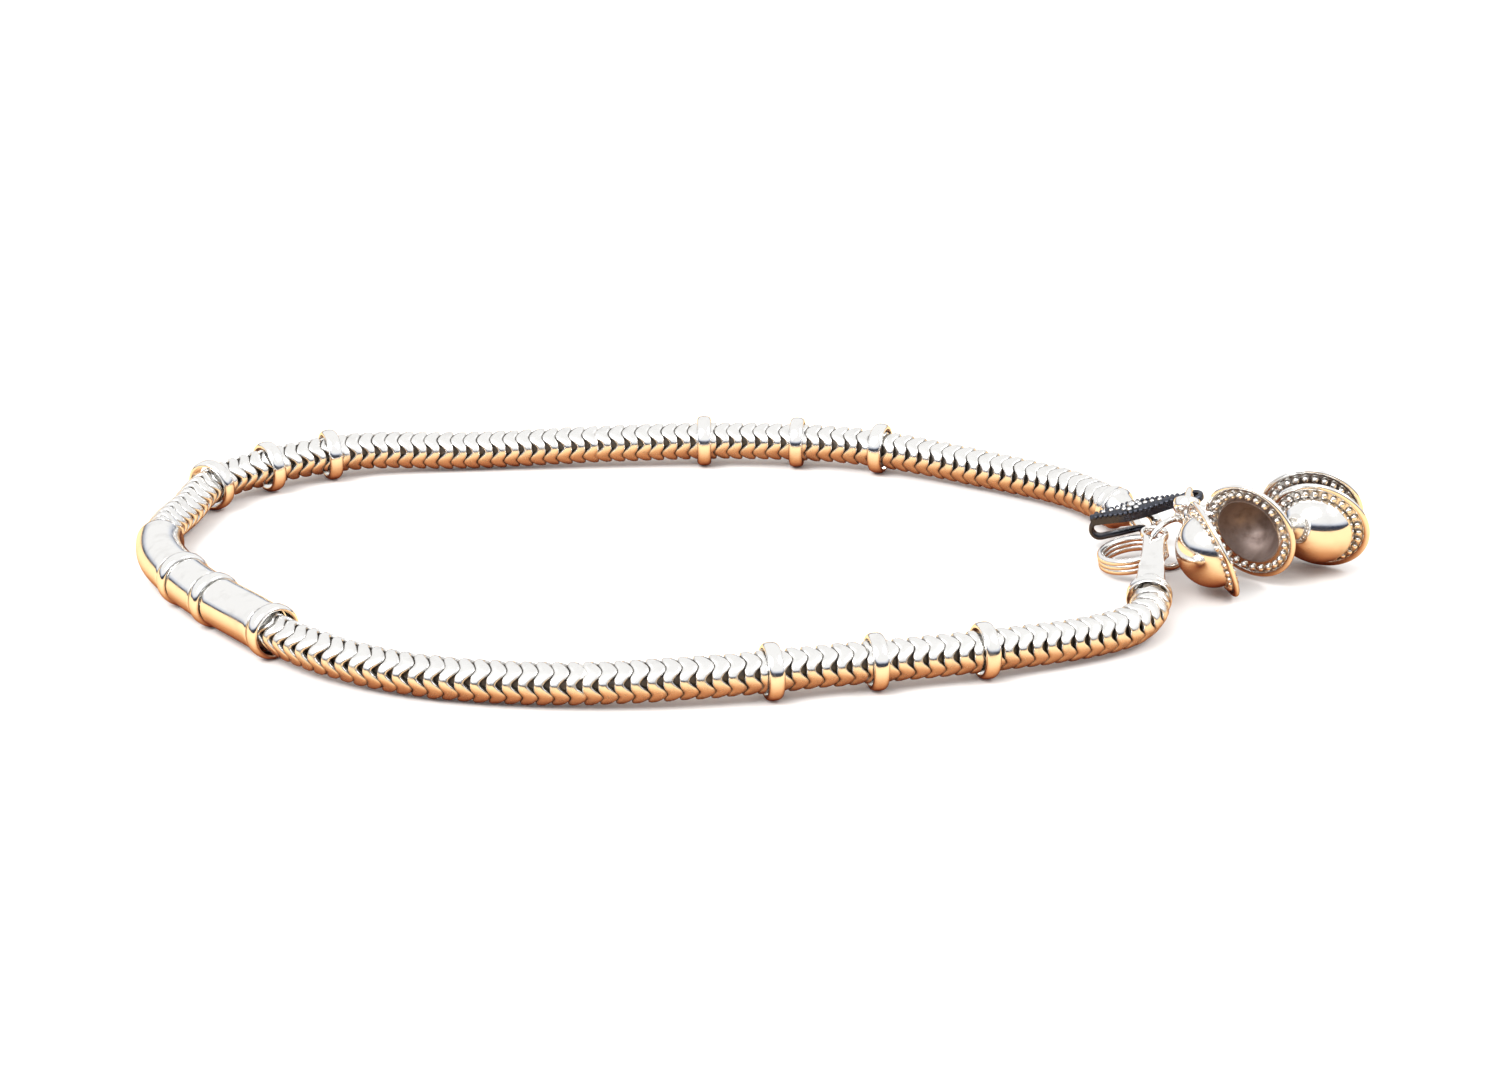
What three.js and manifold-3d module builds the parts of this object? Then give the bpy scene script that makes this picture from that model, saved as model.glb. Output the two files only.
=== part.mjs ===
// Payal: a silver anklet of snake chain that lies fastened on a flat surface, in millimetres, +Z up.
// X runs along the loop's length, Y across it, and the surface is z = 0.
// The chain carries four groups of three spacer rings. Three polished sleeves join the rings of one
// group. The chain's two end caps meet at an S-hook, a coil ring and jump rings with two bells.

import * as THREE from 'three';
import { mergeVertices } from 'three/addons/utils/BufferGeometryUtils.js';
import Module from 'manifold-3d';

const wasm = await Module();
wasm.setup();

// ---- Driving dimensions -------------------------------------------------------------------------

const GAP = 0.3;                    // air between two pieces that touch on the real anklet

const CHAIN_R = 1.85;               // snake chain, half of its thickness over the corners
const CHAIN_SIDES = 12;
const CHAIN_STEPS = 76;

const RING_R = 2.65;                // spacer ring, from its middle to its flats
const RING_BORE_R = 2.22;
const RING_WIDTH = 1.5;
const RING_SIDES = 18;
const RING_CHAMFER = { depth: 0.2, width: 0.25 };
const RING_STATIONS = [29, 38, 48, 88, 95, 102.5, 128.5, 134.8, 144.6, 193.5, 203.2, 213.5];

const SLEEVE_R = 2.36;              // polished sleeve over the chain
const SLEEVE_BORE_R = 2.14;
const SLEEVE_START = 118;           // where the first sleeve begins, along the chain
const SLEEVE_RINGS = [6, 7, 8];     // the rings that end the three sleeves

// End cap, a cone on the end of the chain, with distances along it from the chain's end.
const CAP = { r: 2.1, shoulderR: 1.85, neckR: 1.3, noseR: 0.9, collarEnd: 1.1, neck: 2.7, nose: 3.4 };
const CAP_SIDES = 20;

// The loop of one end cap. Its root is the part inside the cone.
const LOOP = { length: 6.9, height: 2.3, width: 1.3, strip: 0.45, slotStart: 3.3, root: 1, rootHalf: 0.6 };
const TONGUE = {
  baseWidth: 2.9, waistWidth: 2.2, tipWidth: 2.8, thickness: 0.5, eyeR: 1.0,
  start: 0.8, baseEnd: 2.0, waistToEye: 2.4, shoulderToEye: 0.6, waistCurve: 1,
};

// The coil ring's pitch and the half height of a turn's crown are in wire radii.
const COIL = {
  outerR: 3.5, wireR: 0.38, turns: 3, tiltDeg: 12, pitch: 1.9, crownHalf: 0.8, crownInset: 0.12, lift: 0.05,
  sides: 28,
};
const WIRE_R = 0.33;                // wire of the jump rings
const WIRE_SIDES = 7;
const LINK_SIDES = 22;
const BIG_LINK_R = 2.35;            // jump rings, to the middle of the wire
const SMALL_LINK_R = 1.55;
const JOIN_LINK_R = 2.55;

// The S-hook, with distances along it from its tip.
const HOOK = {
  strap: 1.3, plate: 0.8, plateWidth: 3.1, neckWidth: 1.4, lip: 0.5, throat: 1.2, eyeR: 1.35, eyeHoleR: 0.8,
  leafStart: 0.4, curl: 0.9, widest: 4.6, lipEnd: 5.3, shoulder: 7.4, strapEnd: 9.2,
  eyeOverlap: 0.35, swell: 0.4,
};
const GRANULES = {
  middleR: 0.5, petals: 6, petalR: 0.38, rosetteR: 0.9,
  edgeR: 0.36, edgeStations: [1.9, 2.9, 6.4, 7.4, 8.3], edgeHalf: 1.05, edgeBow: 0.035,
};

const BELL = { flangeR: 5.1, domeR: 3.7, domeHeight: 3.9, wall: 0.4, sides: 24, arcSteps: 5 };
const BELL_EYE = { outerR: 1.35, holeR: 0.8, height: 1.2, sides: 16 };
const RIM_STRAP = { thickness: 0.5, rimInset: 0.5, eyeInset: 0.3 };

// ---- Places -------------------------------------------------------------------------------------

// The middle of the chain from one end cap round the loop to the other, chosen by hand. It rests on
// its spacer rings, so it is a ring's radius high there, and sags to the surface between the groups.
const ROUTE_POINTS = [
  [35.4, 12.4, 2.6], [31.4, 17.7, 2.4], [22.5, 23.6, 2.3], [10.0, 28.9, 2.6], [-3.0, 30.2, 2.65],
  [-16.0, 29.5, 2.5], [-32.0, 28.0, 2.1], [-43.0, 26.2, 2.6], [-49.5, 23.2, 2.65],
  [-55.8, 17.9, 2.65], [-58.0, 14.2, 2.5], [-58.8, 9.8, 2.3], [-59.8, 3.5, 2.5],
  [-58.6, -3.4, 2.65], [-54.2, -10.6, 2.65], [-47.9, -17.6, 2.65], [-41.0, -24.3, 2.5],
  [-31.5, -28.7, 2.1], [-18.0, -30.6, 2.1], [-5.0, -30.0, 2.6], [6.5, -27.3, 2.65],
  [17.5, -24.6, 2.65], [24.5, -22.2, 2.5], [30.2, -19.7, 2.3], [34.4, -17.2, 2.35],
  [36.55, -14.3, 2.5], [36.9, -11.6, 2.8],
].map(([x, y, z]) => new THREE.Vector3(x, y, z));

// The middle of the anklet's outline, which is the part's own origin.
const CENTRE = new THREE.Vector3(-1.18, 0.2, 0);

const COIL_AT = new THREE.Vector3(36.85, 1.5, 0);
const HOOK_TIP = new THREE.Vector3(32.6, 7.5, 2.9);

// A jump ring is its middle and two directions in its plane.
const LINKS = {
  jump_ring_join: { at: [40.5, 2.0, 2.92], along: [0.9, 0.43, 0], up: [0, 0, 1], r: JOIN_LINK_R },
  jump_ring_upright: { at: [42.0, 3.8, 5.3], along: [0.2, 0.98, 0], up: [0, 0, 1], r: BIG_LINK_R },
  jump_ring_flat: { at: [43.65, 6.2, 4.1], along: [1, 0, 0], up: [0, 1, 0], r: BIG_LINK_R },
  jump_ring_small: { at: [46.45, 6.2, 4.1], along: [1, 0, 0], up: [0, 0, 1], r: SMALL_LINK_R },
};
const JOIN_BALL = { angleDeg: -8, r: 0.56 };        // drop of solder on the joining ring
const TONGUE_EYE_ANGLE = 150;                       // where the tongue hangs on the joining ring
const HOOK_EYE_ANGLE = 20;                          // where the hook holds the upright ring
const OPEN_BELL_ANGLE = 138;                        // where the open bell hangs on the upright ring

// A bell half is the middle of its flange's mouth face and the direction from there to its pole.
const OPEN_BELL = {
  near: { at: [43.9, -4.1, 4.95], pole: [-0.90, -0.20, -0.39] },
  far: { at: [47.3, -1.5, 5.6], pole: [0.60, 0.77, 0.22] },
};
const SHUT_BELL = {
  near: { at: [54.7, 2.2, 5.05], pole: [-0.35, -0.88, -0.32] },
  far: { at: [54.2, 4.3, 5.5], pole: [0.22, 0.93, 0.297] },
  eye: [48.0, 6.2, 4.1],
};

const UP = new THREE.Vector3(0, 0, 1);
const DEG = Math.PI / 180;

const vec = ([x, y, z]) => new THREE.Vector3(x, y, z);
const route = new THREE.CatmullRomCurve3(ROUTE_POINTS, false, 'centripetal');
route.arcLengthDivisions = 800;
const routeLength = route.getLength();

// ---- Solids and placing -------------------------------------------------------------------------

// A three.js geometry as a manifold-3d solid, for joining and cutting.
function solid(geometry) {
  const bare = geometry.clone();
  bare.deleteAttribute('normal');
  bare.deleteAttribute('uv');
  const welded = mergeVertices(bare, 1e-5);
  return new wasm.Manifold(new wasm.Mesh({
    numProp: 3,
    vertProperties: new Float32Array(welded.attributes.position.array),
    triVerts: new Uint32Array(welded.index.array),
  }));
}

// A manifold-3d solid back as a three.js geometry.
function geometryOf(body) {
  const mesh = body.getMesh();
  const geometry = new THREE.BufferGeometry();
  geometry.setAttribute('position', new THREE.BufferAttribute(mesh.vertProperties, 3));
  geometry.setIndex(new THREE.BufferAttribute(mesh.triVerts, 1));
  geometry.computeVertexNormals();
  return geometry;
}

function joined(geometries) {
  return geometryOf(geometries.map(solid).reduce((whole, next) => whole.add(next)));
}

// The matrix of a frame at a point, whose X axis is given and whose Z axis leans towards another.
function frameAt(origin, xAxis, zHint) {
  const x = xAxis.clone().normalize();
  const y = zHint.clone().cross(x).normalize();
  const z = x.clone().cross(y);
  return new THREE.Matrix4().makeBasis(x, y, z).setPosition(origin);
}

// The matrix that stands a geometry's +Y axis, the axis of a lathe, along a direction.
function axisAt(origin, axis) {
  const direction = axis.clone().normalize();
  const turn = new THREE.Quaternion().setFromUnitVectors(new THREE.Vector3(0, 1, 0), direction);
  return new THREE.Matrix4().makeRotationFromQuaternion(turn).setPosition(origin);
}

function lathe(profile, sides) {
  const points = profile.map(([r, along]) => new THREE.Vector2(r, along));
  return new THREE.LatheGeometry(points, sides);
}

function extruded(shape, depth, curveSegments = 8) {
  const geometry = new THREE.ExtrudeGeometry(shape, { depth, bevelEnabled: false, curveSegments });
  return geometry.translate(0, 0, -depth / 2);
}

// A flat bar between two points, with its width along a direction.
function bar(from, to, width, thickness, widthDirection) {
  const along = to.clone().sub(from);
  const box = new THREE.BoxGeometry(along.length(), width, thickness);
  const middle = from.clone().lerp(to, 0.5);
  const normal = along.clone().cross(widthDirection).normalize();
  return box.applyMatrix4(frameAt(middle, along, normal));
}

// ---- Chain, rings and sleeves -------------------------------------------------------------------

// A stretch of the route, by its distances along it.
class Stretch extends THREE.Curve {
  constructor(start, end) {
    super();
    this.start = start;
    this.end = end;
  }

  getPoint(t) {
    const distance = this.start + (this.end - this.start) * t;
    return route.getPointAt(Math.min(1, Math.max(0, distance / routeLength)));
  }
}

function roundSection(radius, sides) {
  const corner = (i) => {
    const angle = (i + 0.5) * 2 * Math.PI / sides;
    return new THREE.Vector2(radius * Math.cos(angle), radius * Math.sin(angle));
  };
  return Array.from({ length: sides }, (_, i) => corner(i));
}

function snakeChain() {
  const section = new THREE.Shape(roundSection(CHAIN_R, CHAIN_SIDES));
  return new THREE.ExtrudeGeometry(section, {
    steps: CHAIN_STEPS, extrudePath: new Stretch(0, routeLength), bevelEnabled: false,
  });
}

// A ring round the chain, turned so that one of its flats lies on the surface.
function spacerRing(distance) {
  const half = RING_WIDTH / 2;
  const crown = RING_R / Math.cos(Math.PI / RING_SIDES);
  const shoulder = crown - RING_CHAMFER.depth;
  const band = half - RING_CHAMFER.width;
  const profile = [
    [RING_BORE_R, -half], [shoulder, -half], [crown, -band], [crown, band],
    [shoulder, half], [RING_BORE_R, half], [RING_BORE_R, -half],
  ];
  const tangent = route.getTangentAt(distance / routeLength).setZ(0).normalize();
  const at = route.getPointAt(distance / routeLength).setZ(RING_R);
  const across = tangent.clone().cross(UP);
  const turned = new THREE.Matrix4().makeBasis(across, tangent, UP).setPosition(at);
  return lathe(profile, RING_SIDES).rotateY(Math.PI / RING_SIDES).applyMatrix4(turned);
}

// A sleeve follows the bend of the chain inside it.
function sleeve(start, end) {
  const section = new THREE.Shape(roundSection(SLEEVE_R, CHAIN_SIDES));
  section.holes.push(new THREE.Path(roundSection(SLEEVE_BORE_R, CHAIN_SIDES)));
  const steps = Math.max(2, Math.round((end - start) / 2));
  return new THREE.ExtrudeGeometry(section, {
    steps, extrudePath: new Stretch(start, end), bevelEnabled: false,
  });
}

// ---- End caps -----------------------------------------------------------------------------------

// The cone of an end cap, with its axis on +Y and the chain's end at the origin.
function capCone() {
  return lathe([
    [0, GAP], [CAP.r, GAP], [CAP.r, CAP.collarEnd], [CAP.shoulderR, CAP.collarEnd + 0.1],
    [CAP.neckR, CAP.neck], [CAP.noseR, CAP.nose], [0, CAP.nose],
  ], CAP_SIDES);
}

// End cap with a narrow upright loop in front of the cone.
function loopCap(chainEnd, heading) {
  const { length, height, width, strip, slotStart, root, rootHalf } = LOOP;
  const outline = new THREE.Shape();
  outline.moveTo(CAP.nose - root, -rootHalf);
  outline.lineTo(CAP.nose, -height / 2);
  outline.lineTo(length - height / 2, -height / 2);
  outline.absarc(length - height / 2, 0, height / 2, -Math.PI / 2, Math.PI / 2);
  outline.lineTo(CAP.nose, height / 2);
  outline.lineTo(CAP.nose - root, rootHalf);
  const slotR = height / 2 - strip;
  const slot = new THREE.Path();
  slot.moveTo(slotStart, -slotR);
  slot.lineTo(length - height / 2, -slotR);
  slot.absarc(length - height / 2, 0, slotR, -Math.PI / 2, Math.PI / 2);
  slot.lineTo(slotStart, slotR);
  outline.holes.push(slot);
  const upright = new THREE.Matrix4().makeRotationX(Math.PI / 2);
  const loop = extruded(outline, width).applyMatrix4(upright);
  return joined([
    capCone().applyMatrix4(axisAt(chainEnd, heading)),
    loop.applyMatrix4(frameAt(chainEnd, heading, UP)),
  ]);
}

// End cap with a long flat tongue that has a waist and ends in an eye.
function tongueCap(chainEnd, eye) {
  const { baseWidth, waistWidth, tipWidth, thickness, eyeR, start, baseEnd } = TONGUE;
  const along = eye.clone().sub(chainEnd);
  const reach = along.length();
  const outline = new THREE.Shape();
  const waist = reach - TONGUE.waistToEye;
  const curveFrom = waist - TONGUE.waistCurve;
  const shoulder = reach - TONGUE.shoulderToEye;
  outline.moveTo(start, -baseWidth / 2);
  outline.lineTo(baseEnd, -baseWidth / 2);
  outline.quadraticCurveTo(curveFrom, -waistWidth / 2, waist, -waistWidth / 2);
  outline.lineTo(shoulder, -tipWidth / 2);
  outline.absarc(reach, 0, tipWidth / 2, -Math.PI / 2, Math.PI / 2);
  outline.lineTo(shoulder, tipWidth / 2);
  outline.lineTo(waist, waistWidth / 2);
  outline.quadraticCurveTo(curveFrom, waistWidth / 2, baseEnd, baseWidth / 2);
  outline.lineTo(start, baseWidth / 2);
  outline.holes.push(new THREE.Path().absarc(reach, 0, eyeR, 0, 2 * Math.PI));
  return joined([
    capCone().applyMatrix4(axisAt(chainEnd, along)),
    extruded(outline, thickness).applyMatrix4(frameAt(chainEnd, along, UP)),
  ]);
}

// ---- Clasp --------------------------------------------------------------------------------------

// A ring of close wire turns, leaning on the joining ring that runs under one side of it.
function coilRing() {
  const { outerR, wireR, turns, tiltDeg, pitch, lift, sides } = COIL;
  const edgeR = outerR - COIL.crownInset;
  const crown = COIL.crownHalf * wireR;
  const inner = [];
  const outer = [];
  for (let turn = 0; turn < turns; turn++) {
    const height = wireR * (1 + pitch * turn);
    outer.push([edgeR, height - crown], [outerR, height], [edgeR, height + crown]);
    inner.unshift([outerR - 2 * wireR, height]);
  }
  const profile = [...outer, ...inner, outer[0]];
  const lean = new THREE.Matrix4().makeRotationY(-tiltDeg * DEG);
  const foot = new THREE.Matrix4().makeTranslation(outerR, 0, 0);
  const back = new THREE.Matrix4().makeTranslation(COIL_AT.x - outerR, COIL_AT.y, lift);
  return lathe(profile, sides).rotateX(Math.PI / 2).applyMatrix4(back.multiply(lean).multiply(foot));
}

// The strap of the S-hook, seen from the side: a plate whose end curls back under it as a lip.
function hookStrap() {
  const { strap, plate, lip, throat, curl, lipEnd, strapEnd } = HOOK;
  const top = plate / 2;
  const bottom = -top - throat - lip;
  const outerR = (top - bottom) / 2;
  const innerR = throat / 2;
  const outline = new THREE.Shape();
  outline.moveTo(lipEnd, bottom);
  outline.lineTo(lipEnd, bottom + lip);
  outline.lineTo(curl, bottom + lip);
  outline.absarc(curl, -top - innerR, innerR, -Math.PI / 2, Math.PI / 2, true);
  outline.lineTo(strapEnd, -top);
  outline.lineTo(strapEnd, top);
  outline.lineTo(curl, top);
  outline.absarc(curl, top - outerR, outerR, Math.PI / 2, 3 * Math.PI / 2, false);
  return extruded(outline, strap, 10).rotateX(Math.PI / 2);
}

// The hook's show plate: a long leaf with an eye at one end, edged and centred with granules.
function hookPlate(reach) {
  const { plate, plateWidth, neckWidth, leafStart, widest, shoulder, eyeR, eyeHoleR } = HOOK;
  const half = plateWidth / 2;
  const neck = neckWidth / 2;
  const leafEnd = reach - eyeR + HOOK.eyeOverlap;
  const swell = (leafStart + widest) * HOOK.swell;
  const leaf = new THREE.Shape();
  leaf.moveTo(leafStart, -neck);
  leaf.quadraticCurveTo(swell, -half, widest, -half);
  leaf.quadraticCurveTo(shoulder, -half, leafEnd, -neck);
  leaf.lineTo(leafEnd, neck);
  leaf.quadraticCurveTo(shoulder, half, widest, half);
  leaf.quadraticCurveTo(swell, half, leafStart, neck);
  const eye = new THREE.Shape().absarc(reach, 0, eyeR, 0, 2 * Math.PI);
  const hole = new THREE.Shape().absarc(reach, 0, eyeHoleR, 0, 2 * Math.PI);
  const blank = solid(extruded(leaf, plate)).add(solid(extruded(eye, plate, 10)));
  return blank.subtract(solid(extruded(hole, 2 * plate, 8)));
}

function granules() {
  const { middleR, petals, petalR, rosetteR, edgeR, edgeStations, edgeHalf, edgeBow } = GRANULES;
  const middle = HOOK.widest;
  const spots = [[middle, 0, middleR]];
  for (let i = 0; i < petals; i++) {
    const angle = 2 * Math.PI * i / petals;
    spots.push([middle + rosetteR * Math.cos(angle), rosetteR * Math.sin(angle), petalR]);
  }
  for (const x of edgeStations) {
    const edge = edgeHalf - edgeBow * (x - middle) ** 2;
    spots.push([x, edge, edgeR], [x, -edge, edgeR]);
  }
  return spots.map(([x, y, r]) => new THREE.IcosahedronGeometry(r, 1).translate(x, y, HOOK.plate / 2));
}

function sHook() {
  const along = linkPoint(LINKS.jump_ring_upright, HOOK_EYE_ANGLE).sub(HOOK_TIP);
  const parts = [hookStrap(), ...granules()].map(solid);
  const whole = parts.reduce((body, next) => body.add(next), hookPlate(along.length()));
  return geometryOf(whole).applyMatrix4(frameAt(HOOK_TIP, along, UP));
}

function linkFrame({ at, along, up }) {
  const x = vec(along).normalize();
  const y = vec(up).normalize();
  return new THREE.Matrix4().makeBasis(x, y, x.clone().cross(y)).setPosition(vec(at));
}

function linkPoint(link, angleDeg) {
  const angle = angleDeg * DEG;
  const point = new THREE.Vector3(link.r * Math.cos(angle), link.r * Math.sin(angle), 0);
  return point.applyMatrix4(linkFrame(link));
}

function linkTangent(link, angleDeg) {
  const angle = angleDeg * DEG;
  return new THREE.Vector3(-Math.sin(angle), Math.cos(angle), 0).transformDirection(linkFrame(link));
}

function jumpRing(link) {
  return new THREE.TorusGeometry(link.r, WIRE_R, WIRE_SIDES, LINK_SIDES).applyMatrix4(linkFrame(link));
}

function joinRing(link) {
  const at = linkPoint(link, JOIN_BALL.angleDeg);
  const ball = new THREE.IcosahedronGeometry(JOIN_BALL.r, 1).translate(...at);
  return joined([jumpRing(link), ball]);
}

// ---- Bells --------------------------------------------------------------------------------------

// Half of a bell: a pressed dome with a flat flange round its mouth. The mouth face is at the
// origin and the pole is up the +Y axis.
function bellHalf() {
  const { flangeR, domeR, domeHeight, wall, sides, arcSteps } = BELL;
  const arc = (radius, height, from) => Array.from({ length: arcSteps + 1 }, (_, i) => {
    const angle = Math.PI / 2 * (i / arcSteps);
    return [radius * Math.sin(angle), from + (height - from) * Math.cos(angle)];
  });
  const outside = arc(domeR, domeHeight, wall);
  const inside = arc(domeR - wall, domeHeight - wall, 0).reverse();
  return lathe([...outside, [flangeR, wall], [flangeR, 0], ...inside].reverse(), sides);
}

// The eye that a bell hangs by, a short tube.
function bellEye(at, axis) {
  const { outerR, holeR, height, sides } = BELL_EYE;
  const h = height / 2;
  const tube = lathe([[holeR, -h], [outerR, -h], [outerR, h], [holeR, h], [holeR, -h]], sides);
  return tube.applyMatrix4(axisAt(at, axis));
}

// A strap from the rim of a bell half to the bell's eye.
function rimStrap(half, eye, eyeAxis) {
  const centre = vec(half.at);
  const pole = vec(half.pole).normalize();
  const towards = eye.clone().sub(centre).projectOnPlane(pole).normalize();
  const rimR = BELL.flangeR - RIM_STRAP.rimInset;
  const rim = centre.addScaledVector(towards, rimR).addScaledVector(pole, BELL.wall / 2);
  const reach = eye.clone().sub(rim);
  const stop = BELL_EYE.holeR + RIM_STRAP.eyeInset;
  const end = eye.clone().addScaledVector(reach.normalize(), -stop);
  return bar(rim, end, BELL_EYE.height, RIM_STRAP.thickness, eyeAxis);
}

function bell(halves, eye, eyeAxis) {
  const shells = halves.map((half) => bellHalf().applyMatrix4(axisAt(vec(half.at), vec(half.pole))));
  const straps = halves.map((half) => rimStrap(half, eye, eyeAxis));
  return joined([...shells, bellEye(eye, eyeAxis), ...straps]);
}

function openBell() {
  const link = LINKS.jump_ring_upright;
  const eye = linkPoint(link, OPEN_BELL_ANGLE);
  return bell([OPEN_BELL.near, OPEN_BELL.far], eye, linkTangent(link, OPEN_BELL_ANGLE));
}

function shutBell() {
  return bell([SHUT_BELL.near, SHUT_BELL.far], vec(SHUT_BELL.eye), UP);
}

// ---- The anklet ---------------------------------------------------------------------------------

const LOOKS = {
  chain: { color: 0xd9dde2, roughness: 0.3 },
  polished: { color: 0xeef0f2, roughness: 0.14 },
  wire: { color: 0xe3e6ea, roughness: 0.22 },
  oxidised: { color: 0x9a9da4, roughness: 0.42 },
};

const anklet = new THREE.Group();
anklet.position.copy(CENTRE).negate();

function add(name, geometry, look) {
  const material = new THREE.MeshStandardMaterial({ ...LOOKS[look], metalness: 1 });
  const mesh = new THREE.Mesh(geometry, material);
  mesh.name = name;
  anklet.add(mesh);
}

add('snake_chain', snakeChain(), 'chain');

RING_STATIONS.forEach((distance, i) => {
  add(`spacer_ring_${String(i + 1).padStart(2, '0')}`, spacerRing(distance), 'polished');
});

const sleeveStarts = [SLEEVE_START, ...SLEEVE_RINGS.map((i) => RING_STATIONS[i] + RING_WIDTH / 2 + GAP)];
SLEEVE_RINGS.forEach((ring, i) => {
  const end = RING_STATIONS[ring] - RING_WIDTH / 2 - GAP;
  add(`polished_sleeve_${i + 1}`, sleeve(sleeveStarts[i], end), 'polished');
});

const backEnd = route.getPointAt(0);
const backHeading = route.getTangentAt(0).negate().setZ(0).normalize();
add('end_cap_loop', loopCap(backEnd, backHeading), 'polished');
const tongueEye = linkPoint(LINKS.jump_ring_join, TONGUE_EYE_ANGLE);
add('end_cap_tongue', tongueCap(route.getPointAt(1), tongueEye), 'polished');

add('coil_ring', coilRing(), 'wire');
add('s_hook', sHook(), 'oxidised');
for (const [name, link] of Object.entries(LINKS)) {
  add(name, name === 'jump_ring_join' ? joinRing(link) : jumpRing(link), 'wire');
}
add('bell_open', openBell(), 'polished');
add('bell_shut', shutBell(), 'polished');

export default anklet;
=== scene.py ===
import functools
import math

import bmesh
import bpy
import numpy as np
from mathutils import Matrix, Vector


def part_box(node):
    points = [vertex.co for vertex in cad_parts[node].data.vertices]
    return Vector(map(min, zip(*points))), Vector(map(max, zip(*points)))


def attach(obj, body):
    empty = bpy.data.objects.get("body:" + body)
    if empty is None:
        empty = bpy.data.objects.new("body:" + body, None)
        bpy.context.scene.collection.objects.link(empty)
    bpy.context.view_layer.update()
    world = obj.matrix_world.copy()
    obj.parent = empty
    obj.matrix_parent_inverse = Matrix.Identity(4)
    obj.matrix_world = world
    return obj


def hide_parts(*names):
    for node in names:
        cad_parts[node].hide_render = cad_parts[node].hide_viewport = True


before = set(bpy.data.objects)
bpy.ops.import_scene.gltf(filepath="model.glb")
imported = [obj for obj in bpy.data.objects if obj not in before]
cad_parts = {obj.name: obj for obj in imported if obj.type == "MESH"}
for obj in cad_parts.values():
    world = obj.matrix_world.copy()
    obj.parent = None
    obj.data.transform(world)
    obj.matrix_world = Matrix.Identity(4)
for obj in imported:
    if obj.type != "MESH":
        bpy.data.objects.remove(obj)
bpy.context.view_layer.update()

MM = 0.001
SEED = 7
UP = np.array([0.0, 0.0, 1.0])
NEARLY_UPRIGHT = 0.95                     # an axis with more Z than this can't be crossed with UP
WELD = 1e-7                               # points closer than this are one

# ---- Sizes and places ---------------------------------------------------------------------------

CENTRE = np.array([-1.18, 0.2, 0.0])      # where the frame's origin is, in the loop's millimetres

# The middle of the chain from one end cap round the loop to the other.
ROUTE_POINTS = MM * (np.array([
    (35.4, 12.4, 2.6), (31.4, 17.7, 2.4), (22.5, 23.6, 2.3), (10.0, 28.9, 2.6), (-3.0, 30.2, 2.65),
    (-16.0, 29.5, 2.5), (-32.0, 28.0, 2.1), (-43.0, 26.2, 2.6), (-49.5, 23.2, 2.65),
    (-55.8, 17.9, 2.65), (-58.0, 14.2, 2.5), (-58.8, 9.8, 2.3), (-59.8, 3.5, 2.5),
    (-58.6, -3.4, 2.65), (-54.2, -10.6, 2.65), (-47.9, -17.6, 2.65), (-41.0, -24.3, 2.5),
    (-31.5, -28.7, 2.1), (-18.0, -30.6, 2.1), (-5.0, -30.0, 2.6), (6.5, -27.3, 2.65),
    (17.5, -24.6, 2.65), (24.5, -22.2, 2.5), (30.2, -19.7, 2.3), (34.4, -17.2, 2.35),
    (36.55, -14.3, 2.5), (36.9, -11.6, 2.8),
]) - CENTRE)

# The chain is folded wire loops of a rounded square outline. A loop is wide on the faces and narrow
# on the corners. Its faces stand ahead of its middle by the chevron, and its corners as far behind.
CHAIN = {
    "corner_r": 1.97 * MM, "face_r": 1.78 * MM, "core_r": 1.2 * MM, "pitch": 1.4 * MM,
    "wire": 0.62 * MM, "face_width": 1.43 * MM, "corner_width": 0.84 * MM, "chevron": 0.3 * MM,
    "first": 0.8 * MM, "last": 1.1 * MM,      # the first and last loop, from the chain's ends
    "stations": 56, "pieces": 4,
    "face_power": 0.8, "corner_power": 2.8,   # how fast radius and width change from face to corner
}
CHAIN_JITTER = (0.03 * MM, math.radians(1.6), 0.02 * MM)     # a loop's shift, turn and lift at most
CHAIN_CORE = {"steps": 220, "sides": 12}
# How the chain is rolled about its own middle: distance along it, and degrees.
CHAIN_ROLL = [(0, 28), (0.078, 30), (0.09, 35), (0.112, 45), (0.142, 57), (0.165, 62), (0.27, 62)]

# edge is the share of the band's rise that its edges have.
RING = {
    "r": 2.66 * MM, "bore": 2.16 * MM, "width": 1.5 * MM,
    "edge": 0.2, "crown_power": 2.6, "bore_inset": 0.05 * MM, "segments": 72,
}
# Where the rings are, in millimetres along the chain.
RING_STATIONS = [29, 38, 48, 88, 95, 102.5, 128.5, 134.8, 144.6, 193.5, 203.2, 213.5]

# start and gap are in millimetres along the chain. rings are the indexes of the rings that end the
# three sleeves.
SLEEVE = {
    "r": 2.36 * MM, "bore": 2.13 * MM, "start": 118, "rings": [6, 7, 8], "gap": 0.3,
    "outer_steps": 26, "bore_steps": 18, "sides": 64,
}
SLEEVE_LIP = {"depth": 0.12 * MM, "shoulder": 0.3}
SLEEVE_DENTS = {"depth": 0.012 * MM, "swirl": 300, "wave": 700}     # radians for each metre

# The end cap's cone, as radius and distance along it from the chain's end, in millimetres.
CAP_PROFILE = [
    (2.03, -0.35), (2.08, -0.35), (2.14, -0.28), (2.16, -0.15), (2.12, -0.02), (2.08, 0.05),
    (2.08, 0.5), (2.12, 0.56), (2.17, 0.7), (2.12, 0.86), (1.98, 0.92), (1.84, 1.1), (1.6, 1.75),
    (1.35, 2.4), (1.12, 3.0), (0.9, 3.3), (0.5, 3.42), (0.02, 3.44), (0.02, 0.1), (2.03, 0.06),
]
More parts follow.
